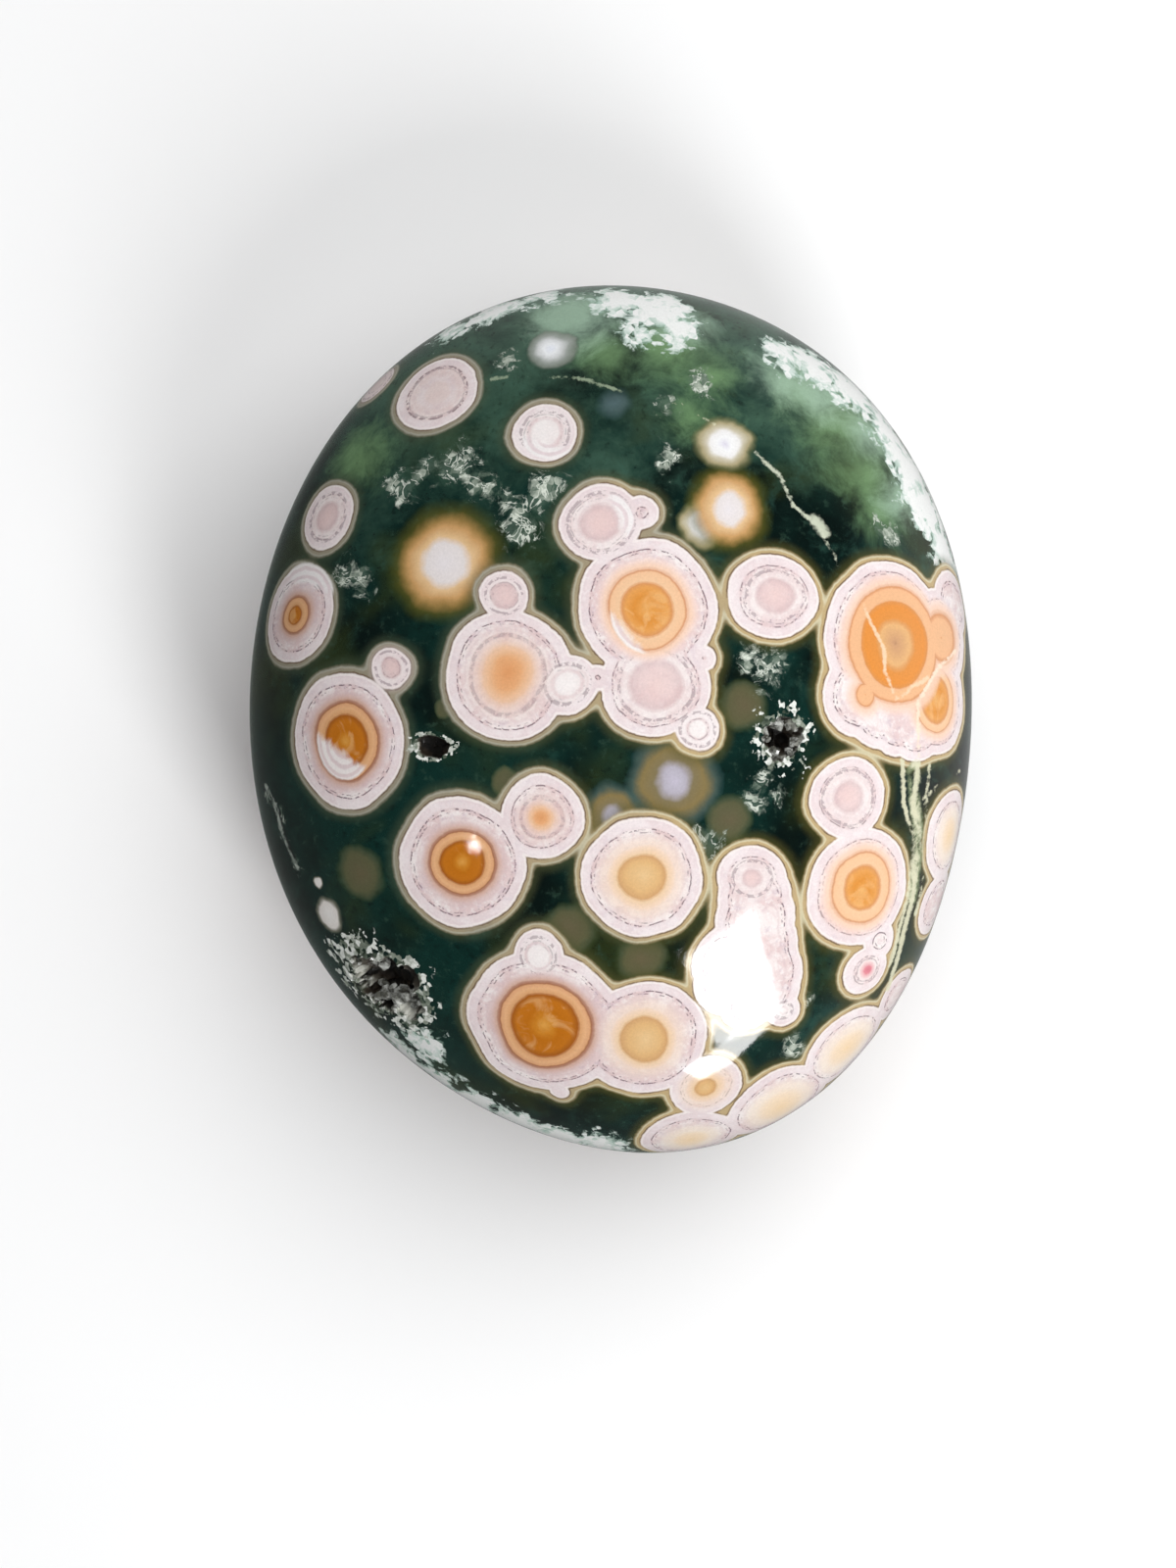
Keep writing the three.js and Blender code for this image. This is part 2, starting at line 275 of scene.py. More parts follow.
UNDER_QUARTZ = (
    (-14.0, 24.0, 3.4), (-18.0, 20.6, 2.8), (-21.4, 16.6, 2.4), (-9.6, 26.8, 2.4), (17.6, 21.6, 2.6),
    (-26.0, -4.0, 2.4), (-25.0, -8.6, 2.0), (3.0, -14.6, 2.2), (5.6, -16.8, 1.8),
)
UNDER_CRACKS = (
    (CREAM, 0.2, 0.2, ((-2.0, 24.0), (1.4, 19.6), (2.4, 15.0), (5.6, 11.4))),
    (SILVER, 0.16, 0.2, ((-18.0, 2.4), (-13.6, -0.8), (-9.4, -3.4), (-4.6, -4.2), (0.4, -6.8))),
)


class JasperForm(bpy.types.PropertyGroup):
    """The stone's own sizes."""

    half_width: FloatProperty(
        name="Half width", description="Half of the stone's width before its lobes",
        default=30.2 * MM, unit="LENGTH")
    half_length: FloatProperty(
        name="Half length", description="Half of the stone's length before its lobes",
        default=36.2 * MM, unit="LENGTH")
    half_thickness: FloatProperty(
        name="Half thickness", description="Half of the stone's thickness before the flat spot is cut",
        default=17.7 * MM, unit="LENGTH")
    back_orbs: IntProperty(
        name="Further orbs", description="How many orbs grow on the sides and the underside", default=32)
    pattern_seed: IntProperty(
        name="Pattern seed", description="Seed of the orbs on the sides and the underside", default=5)


class JasperColours(bpy.types.PropertyGroup):
    """The stone's colours."""

    matrix: FloatVectorProperty(
        name="Dark green", description="The chalcedony between the orbs", subtype="COLOR",
        default=hue(14, 46, 40))
    shade: FloatVectorProperty(
        name="Black green", description="The chalcedony where it is deepest", subtype="COLOR",
        default=hue(7, 20, 17))
    body: FloatVectorProperty(
        name="Orb white", description="The pale parts of the orbs", subtype="COLOR",
        default=hue(246, 236, 234))
    blush: FloatVectorProperty(
        name="Orb pink", description="The pink of the orbs' bodies", subtype="COLOR",
        default=hue(230, 206, 205))
    halo: FloatVectorProperty(
        name="Halo tan", description="The band around the orbs where it is warm", subtype="COLOR",
        default=hue(198, 174, 130))
    grey_halo: FloatVectorProperty(
        name="Halo grey", description="The band around the orbs where it is cool", subtype="COLOR",
        default=hue(154, 146, 126))


class JasperStage(bpy.types.PropertyGroup):
    """The floor, the lights and the camera."""

    eye_height: FloatProperty(
        name="Eye height", description="Height of the camera over the rim of the stone",
        default=350 * MM, unit="LENGTH")
    frame_height: FloatProperty(
        name="Frame height", description="Height of the picture at the rim of the stone",
        default=130.6 * MM, unit="LENGTH")
    window_power: FloatProperty(
        name="Window", description="Power of the window light", default=1.7, unit="POWER")
    fill_power: FloatProperty(
        name="Fill", description="Power of the soft overhead light", default=7.8, unit="POWER")


# What the lights face, in metres, and how far the window and the bright sill below it are turned in their own
# planes, in degrees. The sill shines with a share of the window's power.
LIGHTS_AIM = Vector((0, 0, 0.017))
WINDOW_ROLL = -4
SILL_ROLL = 24
SILL_SHARE = 0.42
# The camera stands over this place, in mm from the stone's middle.
EYE_PLACE = (-1.84, -5.39)


def form_sizes():
    form = bpy.context.scene.jasper_form
    return tuple(size / MM for size in (form.half_width, form.half_length, form.half_thickness))


def eye_point():
    height = bpy.context.scene.jasper_stage.eye_height / MM
    return (*EYE_PLACE, height + form_sizes()[2] - FLAT_SPOT_DEPTH)


# ---- shader maths ----


class Value:
    """A socket's value, with Python's operators for shader maths on numbers."""

    def __init__(self, nodes, socket):
        self.nodes = nodes
        self.socket = socket

    def __add__(self, other):
        return self.nodes.maths("ADD", self, other)

    __radd__ = __add__

    def __sub__(self, other):
        return self.nodes.maths("SUBTRACT", self, other)

    def __rsub__(self, other):
        return self.nodes.maths("SUBTRACT", other, self)

    def __mul__(self, other):
        return self.nodes.maths("MULTIPLY", self, other)

    __rmul__ = __mul__

    def __truediv__(self, other):
        return self.nodes.maths("DIVIDE", self, other)

    def __rtruediv__(self, other):
        return self.nodes.maths("DIVIDE", other, self)

    def other(self, name):
        """The value of another socket of the same node."""
        return Value(self.nodes, self.socket.node.outputs[name])


class Nodes:
    """Builds the nodes of one material or world."""

    def __init__(self, tree):
        self.tree = tree
        tree.nodes.clear()

    def add(self, kind, settings=None, *values, out=0, inputs=None):
        """Adds a node of a kind, with its settings first and then the values or links of its sockets."""
        node = self.tree.nodes.new(kind if kind.startswith("NodeGroup") else "ShaderNode" + kind)
        for name, setting in (settings or {}).items():
            if name == "stops":
                self.set_stops(node.color_ramp, setting)
            else:
                setattr(node, name, setting)
        for key, value in [*enumerate(values), *(inputs or {}).items()]:
            if isinstance(value, Value):
                self.tree.links.new(value.socket, node.inputs[key])
            elif value is not None:
                node.inputs[key].default_value = value
        return Value(self, node.outputs[out]) if len(node.outputs) else node

    @staticmethod
    def set_stops(ramp, stops):
        """Sets a ramp's stops: each has its place, its screen values, and its alpha where that isn't 1."""
        while len(ramp.elements) > 1:
            ramp.elements.remove(ramp.elements[-1])
        for i, (position, red, green, blue, *alpha) in enumerate(stops):
            element = ramp.elements[0] if i == 0 else ramp.elements.new(position)
            element.position = position
            element.color = (*hue(red, green, blue), *(alpha or [1]))

    def maths(self, operation, *values):
        return self.add("Math", {"operation": operation}, *values)

    def step(self, value, low, high):
        """0 below low, 1 above high, smooth between them."""
        settings = {"interpolation_type": "SMOOTHSTEP", "clamp": False}
        return self.add("MapRange", settings, value, low, high, 0.0, 1.0)

    def line(self, value, middle, half_width, soft):
        """1 where the value is near the middle, fading to 0 outside the half width."""
        away = self.maths("ABSOLUTE", value - middle)
        return self.step(away, half_width + soft, half_width)

    def mix(self, first, second, factor, blend="MIX"):
        """The first colour with the second laid over it."""
        settings = {"data_type": "RGBA", "blend_type": blend}
        return self.add("Mix", settings, factor, out=2, inputs={6: paint(first), 7: paint(second)})

    def vector(self, operation, *values, out=0):
        return self.add("VectorMath", {"operation": operation}, *values, out=out)

    def scaled(self, vector, factor):
        return self.add("VectorMath", {"operation": "SCALE"}, vector, inputs={3: factor})

    def clouds(self, place, scale, detail=2.0, rough=0.5, distort=0.0, out=0):
        """Noise from 0 to 1 with a number of features per mm."""
        inputs = {"Vector": place, "Scale": scale, "Detail": detail, "Roughness": rough,
                  "Distortion": distort}
        return self.add("TexNoise", None, inputs=inputs, out=out)

    def pushed(self, start, place, scale, detail, most):
        """The start pushed about by noise at a place."""
        push = self.vector("SUBTRACT", self.clouds(place, scale, detail, out=1), (0.5, 0.5, 0.5))
        return self.vector("ADD", start, self.scaled(push, most))

    def cells(self, place, scale, distance="EUCLIDEAN"):
        """Cells with a number of them per mm, each with its own value from 0 to 1."""
        inputs = {"Vector": place, "Scale": scale}
        cell = self.add("TexVoronoi", {"distance": distance}, inputs=inputs, out=1)
        return self.add("SeparateColor", None, cell)

    def attribute(self, name):
        return self.add("Attribute", {"attribute_name": name}, out=2)

    def ramp(self, value, stops):
        return self.add("ValToRGB", {"stops": stops}, value)

    def laid_over(self, colour, value, stops):
        """A colour under a ramp whose stops have an alpha."""
        layer = self.ramp(value, stops)
        return self.mix(colour, layer, layer.other("Alpha"))


def paint(colour):
    """A colour with its alpha, or a link left as it is."""
    return colour if isinstance(colour, Value) or len(colour) == 4 else (*colour, 1)


def principled(name, build):
    """A material: build is given its nodes and returns its principled shader's inputs."""
    material = bpy.data.materials.new(name)
    material.use_nodes = True
    nodes = Nodes(material.node_tree)
    shader = nodes.add("BsdfPrincipled", None, inputs=build(nodes))
    nodes.add("OutputMaterial", None, shader)
    return material


def shader_group(name, inputs, outputs, build):
    """A group of nodes: build is given its nodes and inputs and returns its outputs in their order."""
    tree = bpy.data.node_groups.new(name, "ShaderNodeTree")
    for direction, sockets in (("INPUT", inputs), ("OUTPUT", outputs)):
        for socket, kind in sockets.items():
            tree.interface.new_socket(socket, in_out=direction, socket_type="NodeSocket" + kind)
    nodes = Nodes(tree)
    enter = nodes.add("NodeGroupInput").socket.node
    made = build(nodes, *(Value(nodes, enter.outputs[i]) for i in range(len(inputs))))
    nodes.add("NodeGroupOutput", None, *made)
    return tree


# ---- the pattern of the stone ----

# Widths in mm: of an orb's halo and of the blush around its centre, and how far orbs that meet flow together.
HALO_WIDTH = 0.5
BLUSH_WIDTH = 1.3
HALO_BLEND = 0.9
BODY_BLEND = 0.25
QUARTZ_IOR = 1.54


# Further orbs: up to which of them, and the least and the largest radius in mm.
GROWN_RADII = ((12, 4.4, 6.6), (22, 2.4, 4.0), (math.inf, 1.1, 2.2))
GROWN_KINDS = ("amber", "orange", "peach", "rose", "rose", "white", "tan", "pale")
GROWN_TRIES = 60
GROWN_SPACING = 0.86  # how near two orbs' middles may be, in shares of both radii
GROWN_BELOW_RIM = 0.8  # how far under the rim an orb's middle stays, in its radii


def grown_orbs(orbs, sizes, count, seed):
    """Further orbs for the sides and the underside, each near its neighbours, as orbs grow."""
    chance = random.Random(seed)
    grown = list(orbs)
    rim = sizes[2] - FLAT_SPOT_DEPTH
    for i in range(count):
        radius = chance.uniform(*next(radii for last, *radii in GROWN_RADII if i < last))
        best = None
        for _ in range(GROWN_TRIES):
            direction = Vector([chance.gauss(0, 1) for _ in range(3)]).normalized()
            point = form_point(direction, sizes)
            if point[2] > rim - GROWN_BELOW_RIM * radius:
                continue
            gap = min(np.linalg.norm(point - other) - GROWN_SPACING * (radius + reach)
                      for other, reach, *_ in grown)
            if gap > 0 and (best is None or gap < best[0]):
                best = (gap, tuple(point))
        if best:
            kind = chance.choice(GROWN_KINDS)
            core = radius * chance.uniform(0.25, 0.4)
            ring = core + radius * chance.uniform(0.12, 0.22)
            grown.append((best[1], radius, kind, core, ring))
    return grown


# Colours of the orbs' centres outwards, as stops: a place, a screen colour, and its alpha where that isn't 1.
# 1/3 is the edge of the core, 2/3 its ring and 1 the end of its blush.
CENTRE_STOPS = {
    "amber": ((0, 220, 158, 74), (0.08, 206, 132, 42), (0.16, 192, 112, 24), (0.27, 196, 116, 30),
        (0.325, 166, 94, 34), (0.35, 222, 166, 116), (0.5, 232, 180, 134), (0.63, 224, 168, 124),
        (0.66, 164, 108, 78), (0.685, 214, 174, 156, 0.95), (0.82, 220, 190, 186, 0.7),
        (1, 224, 200, 200, 0)),
    "orange": ((0, 232, 172, 102), (0.09, 228, 158, 80), (0.17, 222, 146, 64), (0.27, 230, 162, 88),
        (0.325, 218, 152, 96), (0.35, 242, 200, 160), (0.61, 242, 196, 156), (0.65, 214, 152, 110),
        (0.675, 246, 210, 184, 0.95), (0.85, 246, 216, 204, 0.6), (1, 238, 214, 210, 0)),
    "great": ((0, 176, 130, 100), (0.02, 206, 158, 118), (0.14, 230, 180, 124), (0.17, 222, 160, 100),
        (0.2, 226, 148, 74), (0.29, 230, 148, 70), (0.325, 220, 148, 84), (0.336, 238, 186, 142),
        (0.60, 240, 186, 142), (0.65, 216, 152, 106), (0.675, 244, 208, 184, 0.95),
        (0.85, 246, 214, 198, 0.6), (1, 238, 214, 210, 0)),
    "tan": ((0, 236, 202, 150), (0.24, 226, 182, 126), (0.32, 212, 166, 116), (0.35, 240, 208, 172),
        (0.58, 244, 216, 192, 0.9), (0.7, 244, 222, 206, 0.6), (1, 240, 222, 216, 0)),
    "peach": ((0, 226, 158, 104), (0.2, 234, 174, 124), (0.32, 238, 190, 148, 0.9),
        (0.42, 238, 200, 174, 0.75), (0.62, 236, 206, 194, 0.6), (0.67, 214, 180, 170, 0.4),
        (0.7, 240, 222, 216, 0.5), (1, 230, 206, 206, 0)),
    "shell": ((0, 248, 218, 178), (0.3, 250, 224, 190, 0.9), (0.66, 250, 234, 216, 0.8),
        (1, 250, 240, 232, 0)),
    "cherry": ((0, 214, 116, 132), (0.2, 224, 140, 150), (0.36, 240, 200, 200, 0.8),
        (0.6, 246, 230, 228, 0.5), (0.9, 240, 222, 222, 0)),
    "rose": ((0, 236, 208, 204, 0.9), (0.2, 230, 202, 200, 0.8), (0.3, 214, 186, 186, 0.7),
        (0.37, 242, 230, 228, 0.6), (0.6, 242, 230, 228, 0.5), (0.7, 236, 220, 220, 0.3),
        (0.9, 234, 214, 216, 0)),
    "white": ((0, 248, 242, 240, 0.9), (0.28, 248, 242, 240, 0.8), (0.35, 228, 210, 210, 0.5),
        (0.5, 248, 242, 240, 0.6), (0.66, 248, 242, 240, 0.4), (0.8, 230, 214, 216, 0)),
    "pale": ((0, 232, 212, 208, 0.9), (0.28, 232, 212, 208, 0.8), (0.35, 228, 210, 210, 0.5),
        (0.5, 232, 212, 208, 0.6), (0.66, 232, 212, 208, 0.4), (0.8, 230, 214, 216, 0)),
}
# The same for sunken orbs, where 1 is the whole radius.
SUNKEN_STOPS = {
    "sun": ((0, 236, 230, 232), (0.28, 232, 224, 222), (0.40, 228, 192, 146), (0.56, 208, 162, 106, 0.95),
        (0.66, 170, 136, 78, 0.8), (0.78, 92, 90, 36, 0.6), (1.0, 60, 74, 26, 0)),
    "moon": ((0, 196, 190, 206), (0.25, 190, 184, 196, 0.9), (0.42, 140, 126, 92, 0.85),
        (0.62, 150, 130, 84, 0.8), (0.8, 92, 108, 98, 0.6), (1.0, 60, 96, 100, 0)),
    "pearl": ((0, 222, 218, 232), (0.22, 246, 246, 246), (0.42, 240, 238, 236), (0.56, 206, 198, 176),
        (0.74, 180, 168, 130, 0.9), (0.86, 120, 120, 84, 0.6), (1.0, 70, 84, 50, 0)),
    "frost": ((0, 232, 236, 246), (0.25, 240, 242, 244), (0.45, 212, 214, 214), (0.62, 160, 166, 160),
        (0.84, 126, 134, 124, 0.85), (1.0, 60, 80, 66, 0)),
    "mist": ((0, 96, 118, 124, 0.75), (0.5, 88, 110, 112, 0.6), (1.0, 60, 90, 90, 0)),
    "snow": ((0, 248, 244, 240), (0.62, 240, 234, 228), (0.78, 150, 146, 130, 0.7), (1.0, 90, 96, 80, 0)),
    "moss": ((0, 112, 102, 76, 0.8), (0.6, 104, 102, 72, 0.75), (0.8, 84, 92, 66, 0.6),
        (1.0, 60, 76, 40, 0)),
}


def warped_place(nodes):
    """The point in mm, pushed about a little so that nothing in the pattern is drawn with a compass."""
    place = nodes.scaled(nodes.add("TexCoord", out=3), 1 / MM)
    return place, nodes.pushed(nodes.pushed(place, place, 0.14, 1.0, 1.2), place, 0.55, 2.0, 0.2)


def nearest_depth(nodes, place, spheres, blend):
    """How deep, in mm, the place lies inside the union of the spheres."""
    depth = None
    for middle, radius in spheres:
        inside = radius - nodes.vector("DISTANCE", place, middle, out=1)
        depth = inside if depth is None else nodes.maths("SMOOTH_MAX", depth, inside, blend)
    return depth


def crack_distance(nodes, place, points):
    """Distance in mm to a chain of straight pieces."""
    nearest = None
    for start, end in zip(points, points[1:]):
        start, end = Vector(start), Vector(end)
        run = end - start
        from_start = nodes.vector("SUBTRACT", place, tuple(start))
        along = nodes.vector("DOT_PRODUCT", from_start, tuple(run / run.length_squared), out=1)
        along = nodes.maths("MAXIMUM", nodes.maths("MINIMUM", along, 1.0), 0.0)
        away = nodes.vector("DISTANCE", from_start, nodes.scaled(tuple(run), along), out=1)
        nearest = away if nearest is None else nodes.maths("MINIMUM", nearest, away)
    return nearest


def orb_group(centred):
    """Adds one orb to the depths of the halos and of the pale bodies, and if it has a centre to the reach of
    its kind of centre: 0 at the middle, 1 at the edge of the core, 2 at its ring, 3 at the end of its blush.
    Orbs that meet flow together."""
    def build(nodes, place, middle, radius, halo, body, core=None, ring=None, end=None, centre=None):
        away = nodes.vector("DISTANCE", place, middle, out=1)
        inside = radius - away
        depths = (nodes.maths("SMOOTH_MAX", halo, inside, HALO_BLEND),
                  nodes.maths("SMOOTH_MAX", body, inside, BODY_BLEND))
        if not centred:
            return depths
        inner = nodes.maths("MINIMUM", away / core, 1.0) + nodes.step(away, core, ring)
        return (*depths, nodes.maths("MINIMUM", centre, inner + nodes.step(away, ring, end)))
    inputs = ["Radius", "Halo", "Body"] + ["Core", "Ring", "End", "Centre"] * centred
    outputs = ["Halo", "Body"] + ["Centre"] * centred
    return shader_group("orb_with_centre" if centred else "plain_orb",
                        {"Place": "Vector", "Middle": "Vector", **dict.fromkeys(inputs, "Float")},
                        dict.fromkeys(outputs, "Float"), build)


def sunken_group(kind):
    """Lays one orb that lies under the clear chalcedony over a colour."""
    def build(nodes, colour, place, middle, radius):
        reach = nodes.vector("DISTANCE", place, middle, out=1) / radius
        return (nodes.laid_over(colour, reach, SUNKEN_STOPS[kind]),)
    inputs = {"Colour": "Color", "Place": "Vector", "Middle": "Vector", "Radius": "Float"}
    return shader_group("sunken_" + kind, inputs, {"Colour": "Color"}, build)


def matrix_colour(nodes, place, warped, colours):
    """The dark green chalcedony with its lit clouds, sunken orbs and depth."""
    broad = nodes.clouds(place, 0.09, 3.0, 0.55)
    colour = nodes.mix(tuple(colours.shade), tuple(colours.matrix), nodes.step(broad, 0.36, 0.62))
    olive = nodes.step(nodes.clouds(place, 0.13, 2.0, 0.5, 0.4), 0.5, 0.74)
    colour = nodes.mix(colour, hue(52, 60, 22), olive * 0.55)
    veil = nodes.clouds(warped, 0.28, 5.0, 0.66, 0.4)
    upper = nodes.add("SeparateXYZ", None, place, out=1) + (broad + veil - 1.0) * 40.0
    colour = nodes.mix(colour, hue(74, 104, 86), nodes.step(upper, 12.0, 46.0) * 0.95)
    colour = nodes.mix(colour, hue(44, 84, 74), nodes.step(veil, 0.52, 0.8) * 0.5)
    grain = nodes.clouds(warped, 1.3, 4.0, 0.62)
    colour = nodes.mix(colour, hue(56, 82, 68), nodes.step(grain, 0.54, 0.76) * 0.45)
    colour = nodes.mix(colour, hue(6, 15, 13), nodes.step(grain, 0.46, 0.28) * 0.5)
    lit = nearest_depth(nodes, warped, placed(GREEN_CLOUDS), 2.0)
    lit = lit + (broad - 0.5) * 6.0 + (veil - 0.5) * 7.0
    colour = nodes.mix(colour, hue(118, 154, 106), nodes.step(lit, -1.6, 3.4) * 0.85)
    mist = nearest_depth(nodes, warped, placed(MIST), 2.0) + (veil - 0.5) * 7.0
    colour = nodes.mix(colour, hue(160, 190, 166), nodes.step(mist, -1.4, 2.6) * 0.8)
    groups = {kind: sunken_group(kind) for kind in SUNKEN_STOPS}
    blurred = nodes.pushed(warped, place, 0.6, 2.0, 0.9)
    for middle, radius, kind in placed(SUNKEN_ORBS, UNDER_SUNKEN):
        colour = nodes.add("Group", {"node_tree": groups[kind]}, colour, blurred, middle, radius)
    return colour


def quartz_over(nodes, colour, warped, ragged, chip):
    """White quartz that breaks off in plates and chips at its edges. Returns the colour and where it lies."""
    plate = nodes.cells(warped, 0.8, "CHEBYCHEV")
    zone = nearest_depth(nodes, warped, placed(QUARTZ_ZONES, UNDER_QUARTZ), 1.2)
    edge = zone + (ragged - 0.5) * 5.0 + (plate - 0.5) * 1.4 + (chip - 0.5) * 0.9
    quartz = nodes.step(edge, -0.4, 0.4)
    frost = nodes.ramp(zone * 0.2 + (ragged - 0.5) * 1.0 + plate * 0.35 + chip * 0.35, (
        (0.12, 110, 144, 124), (0.3, 170, 199, 184), (0.46, 222, 234, 227), (0.6, 251, 252, 250)))
    return nodes.mix(colour, frost, quartz * 0.95), quartz


def flecks_over(nodes, colour, place, warped, ragged, chip, fine):
    """Clusters of small grey crystal flecks. Returns the colour and where they lie."""
    near = nearest_depth(nodes, warped, placed(FLECK_CLUSTERS), 0.6) + (ragged - 0.5) * 6.0
    edges = nodes.line(nodes.clouds(place, 0.55, 3.0, 0.65, 0.6), 0.5, 0.01, 0.02)
    fleck = nodes.step(near, -0.5, 0.8)
    colour = nodes.mix(colour, hue(92, 112, 98), fleck * 0.5)
    bright = nodes.step(chip + (fine - 0.5) * 0.6, 0.55, 1.0)
    shard = nodes.mix(hue(104, 120, 106), hue(196, 204, 190), bright)
    colour = nodes.mix(colour, shard, fleck * nodes.step(chip + near * 0.12, 0.52, 0.6) * 0.9)
    return nodes.mix(colour, hue(222, 228, 216), edges * nodes.step(near, -0.3, 0.5) * 0.85), fleck


def orb_fields(nodes, grown, orbs):
    """How deep a place lies in the halos and in the bodies, in mm, and its reach in each kind of centre."""
    halo = body = -100.0
    centres = {}
    plain_orb, centred_orb = orb_group(False), orb_group(True)
    for middle, radius, *centre in orbs:
        values = (grown, middle, radius, halo, body)
        if centre:
            kind, core, ring = centre
            values += (core, ring, ring + BLUSH_WIDTH, centres.get(kind, 3.0))
        made = nodes.add("Group", {"node_tree": centred_orb if centre else plain_orb}, *values)
        halo, body = made, made.other("Body")
        if centre:
            centres[kind] = made.other("Centre")
    return halo, body, centres


def halos_over(nodes, colour, place, ragged, halo, depth, colours):
    """The bands around the orbs, warmer towards one side of the stone."""
    across = nodes.add("SeparateXYZ", None, place)
    golden = nodes.clouds(place, 0.16, 2.0)
    warmth = nodes.step(across - across.other("Y") * 0.3 + (golden - 0.5) * 30.0, -16.0, 14.0)
    glow = nodes.step(halo, -1.0, 0.1)
    colour = nodes.mix(colour, nodes.mix(hue(70, 82, 62), hue(88, 84, 40), warmth), glow * 0.55)
    band = nodes.mix(tuple(colours.grey_halo), tuple(colours.halo), warmth)
    joint = nodes.mix(hue(176, 142, 96), hue(236, 186, 120), warmth)
    band = nodes.mix(band, joint, nodes.step(halo, 0.55, 1.1))
    outline = nodes.mix(hue(172, 170, 156), hue(222, 214, 182), warmth)
    band = nodes.mix(band, outline, nodes.line(halo, 0.1, 0.03, 0.1) * 0.8)
    inline = nodes.line(depth, -0.05, 0.03, 0.08) * nodes.step(ragged, 0.3, 0.6)
    band = nodes.mix(band, hue(108, 84, 66), inline * 0.85)
    return nodes.mix(colour, band, nodes.step(halo, -0.2, 0.16) * 0.96)


def bodies_over(nodes, colour, place, warped, fine, specks, depth, colours):
    """The pale bodies of the orbs, with soft rings and a broken dark line a little inside their edge."""
    mottle = nodes.clouds(place, 0.4, 5.0, 0.65, 0.5)
    pale = nodes.mix(tuple(colours.blush), tuple(colours.body), nodes.step(mottle, 0.4, 0.62))
    rings = nodes.step(nodes.maths("SINE", depth * 9.0 + mottle * 12.0), 0.1, 1.0)
    pale = nodes.mix(pale, hue(212, 184, 186), rings * nodes.step(depth, 2.6, 1.2) * 0.35)
    flecked = nodes.step(nodes.clouds(warped, 1.4, 4.0, 0.62), 0.5, 0.7)
    pale = nodes.mix(pale, hue(206, 184, 196), flecked * 0.5)
    pale = nodes.mix(pale, hue(252, 248, 246), nodes.step(fine, 0.53, 0.66) * 0.45)
    pale = nodes.mix(pale, hue(240, 228, 230), nodes.step(depth, 0.95, 0.75) * 0.6)
    pale = nodes.mix(pale, tuple(colours.body), nodes.line(depth, 0.12, 0.04, 0.1))
    first = nodes.line(depth, 0.92, 0.02, 0.07) * nodes.step(specks, 0.45, 0.55)
    second = nodes.line(depth, 1.16, 0.02, 0.07) * nodes.step(specks, 0.5, 0.38) * 0.8
    pale = nodes.mix(pale, hue(112, 88, 98), nodes.maths("MAXIMUM", first, second) * 0.85)
    return nodes.mix(colour, pale, nodes.step(depth, -0.05, 0.08))


def centres_over(nodes, colour, place, warped, specks, centres):
    """The coloured centres of the orbs, with light streaks in the golden ones and dashes around others."""
    swirl = (nodes.clouds(place, 0.42, 3.0, 0.55, 0.3) - 0.5) * 0.7
    streaks = nodes.step(nodes.clouds(warped, 0.36, 3.0, 0.55, 1.4), 0.5, 0.64)
    for kind, reach in centres.items():
        stirred = swirl * nodes.step(reach, 0.95, 0.4) * (0.3 if kind == "great" else 1)
        colour = nodes.laid_over(colour, (reach + stirred) / 3, CENTRE_STOPS[kind])
        if kind in ("amber", "orange"):
            colour = nodes.mix(colour, hue(248, 208, 150), streaks * nodes.step(reach, 0.98, 0.8) * 0.3)
        if kind in ("rose", "white", "peach", "pale", "cherry"):
            dashes = nodes.line(reach, 2.0, 0.02, 0.06) * nodes.step(specks, 0.45, 0.54)
            colour = nodes.mix(colour, hue(128, 104, 112), dashes * (0.3 if kind == "peach" else 0.5))
    return colour


def caps_over(nodes, colour, grown, ragged):
    """White banded caps over one side of some centres."""
    for middle, outer, turn, start in placed(CAPS):
        offset = nodes.vector("SUBTRACT", grown, middle)
        facing = (math.cos(math.radians(turn)), math.sin(math.radians(turn)), 0)
        away = nodes.vector("LENGTH", offset, out=1)
        toward = nodes.vector("DOT_PRODUCT", offset, facing, out=1) + (ragged - 0.5) * 1.6
        bands = nodes.maths("SINE", away * 9.0 + ragged * 3.0)
        white = nodes.mix(hue(232, 216, 218), hue(248, 243, 242), nodes.step(bands, -0.9, 0.5))
        cover = nodes.step(toward, start - 0.1, start + 0.7) * nodes.step(away, outer, outer - 0.25)
        colour = nodes.mix(colour, white, cover * 0.92)
    return colour


def cracks_over(nodes, colour, warped, ragged, fine):
    """Healed cracks, each a ragged seam of one colour."""
    cracks = [(*look, placed(points)) for *look, points in CRACKS]
    cracks += [(*look, placed((), points)) for *look, points in UNDER_CRACKS]
    for tint, half_width, broken, chain in cracks:
        away = crack_distance(nodes, warped, [point for point, in chain]) + (fine - 0.5) * 0.6
        seam = nodes.step(away, half_width + 0.12, half_width * 0.5)
        colour = nodes.mix(colour, tint, seam * nodes.step(ragged, broken, broken + 0.14) * 0.9)
    return colour


